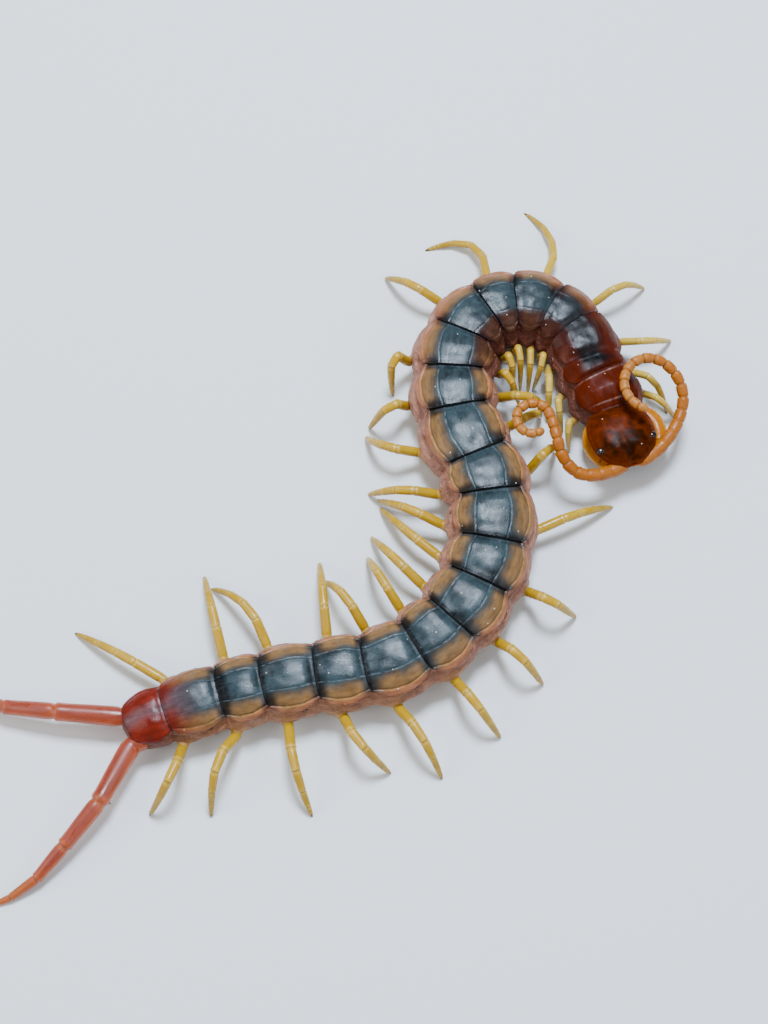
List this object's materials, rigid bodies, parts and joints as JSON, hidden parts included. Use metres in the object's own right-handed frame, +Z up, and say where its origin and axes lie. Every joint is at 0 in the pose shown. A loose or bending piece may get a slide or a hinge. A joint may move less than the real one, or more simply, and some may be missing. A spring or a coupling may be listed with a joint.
{
  "type": "giant centipede",
  "caption": "Life-size still model of a giant centipede at rest, body bent in an S with its front curled into a hook, plated back, arched legs and coiled antennae.",
  "frame": {"origin": "on the floor, under the middle of the bounding box", "axes": "+Z up from the floor; +Y from the last legs' side towards the bend of the hook; +X from the tail's side towards the head's side"},
  "size_m": [0.0792, 0.0785, 0.008],
  "materials": {
    "middle_shell": "glossy horn-like skin, steel grey back",
    "end_shell": "glossy horn-like skin, dark red",
    "leg_shell": "thin horn-like skin, ochre yellow",
    "last_leg_shell": "glossy horn-like skin, red orange",
    "feeler_shell": "thin horn-like skin, orange",
    "head_shell": "glossy horn-like skin, dark amber brown",
    "claw_shell": "hard glossy horn-like skin, amber",
    "jaw_shell": "hard glossy horn-like skin, brown",
    "eye_shell": "polished black"
  },
  "bodies": {
    "root": {"head": "head_shell", "eye_left": "eye_shell", "eye_right": "eye_shell", "antenna_left": "feeler_shell", "antenna_right": "feeler_shell", "forcipule_base": "jaw_shell", "forcipule_left": "claw_shell", "forcipule_right": "claw_shell", "trunk_1": "end_shell", "trunk_2": "middle_shell", "trunk_3": "middle_shell", "trunk_4": "middle_shell", "trunk_5": "middle_shell", "trunk_6": "middle_shell", "trunk_7": "end_shell", "leg_left_01": "leg_shell", "leg_left_02": "leg_shell", "leg_left_03": "leg_shell", "leg_left_04": "leg_shell", "leg_left_05": "leg_shell", "leg_left_06": "leg_shell", "leg_left_07": "leg_shell", "leg_left_08": "leg_shell", "leg_left_09": "leg_shell", "leg_left_10": "leg_shell", "leg_left_11": "leg_shell", "leg_left_12": "leg_shell", "leg_left_13": "leg_shell", "leg_left_14": "leg_shell", "leg_left_15": "leg_shell", "leg_left_16": "leg_shell", "leg_left_17": "leg_shell", "leg_left_18": "leg_shell", "leg_left_19": "leg_shell", "leg_left_20": "leg_shell", "leg_right_01": "leg_shell", "leg_right_02": "leg_shell", "leg_right_03": "leg_shell", "leg_right_04": "leg_shell", "leg_right_05": "leg_shell", "leg_right_06": "leg_shell", "leg_right_07": "leg_shell", "leg_right_08": "leg_shell", "leg_right_09": "leg_shell", "leg_right_10": "leg_shell", "leg_right_11": "leg_shell", "leg_right_12": "leg_shell", "leg_right_13": "leg_shell", "leg_right_14": "leg_shell", "leg_right_15": "leg_shell", "leg_right_16": "leg_shell", "leg_right_17": "leg_shell", "leg_right_18": "leg_shell", "leg_right_19": "leg_shell", "leg_right_20": "leg_shell", "last_leg_left": "last_leg_shell", "last_leg_right": "last_leg_shell"}
  },
  "joints": []
}
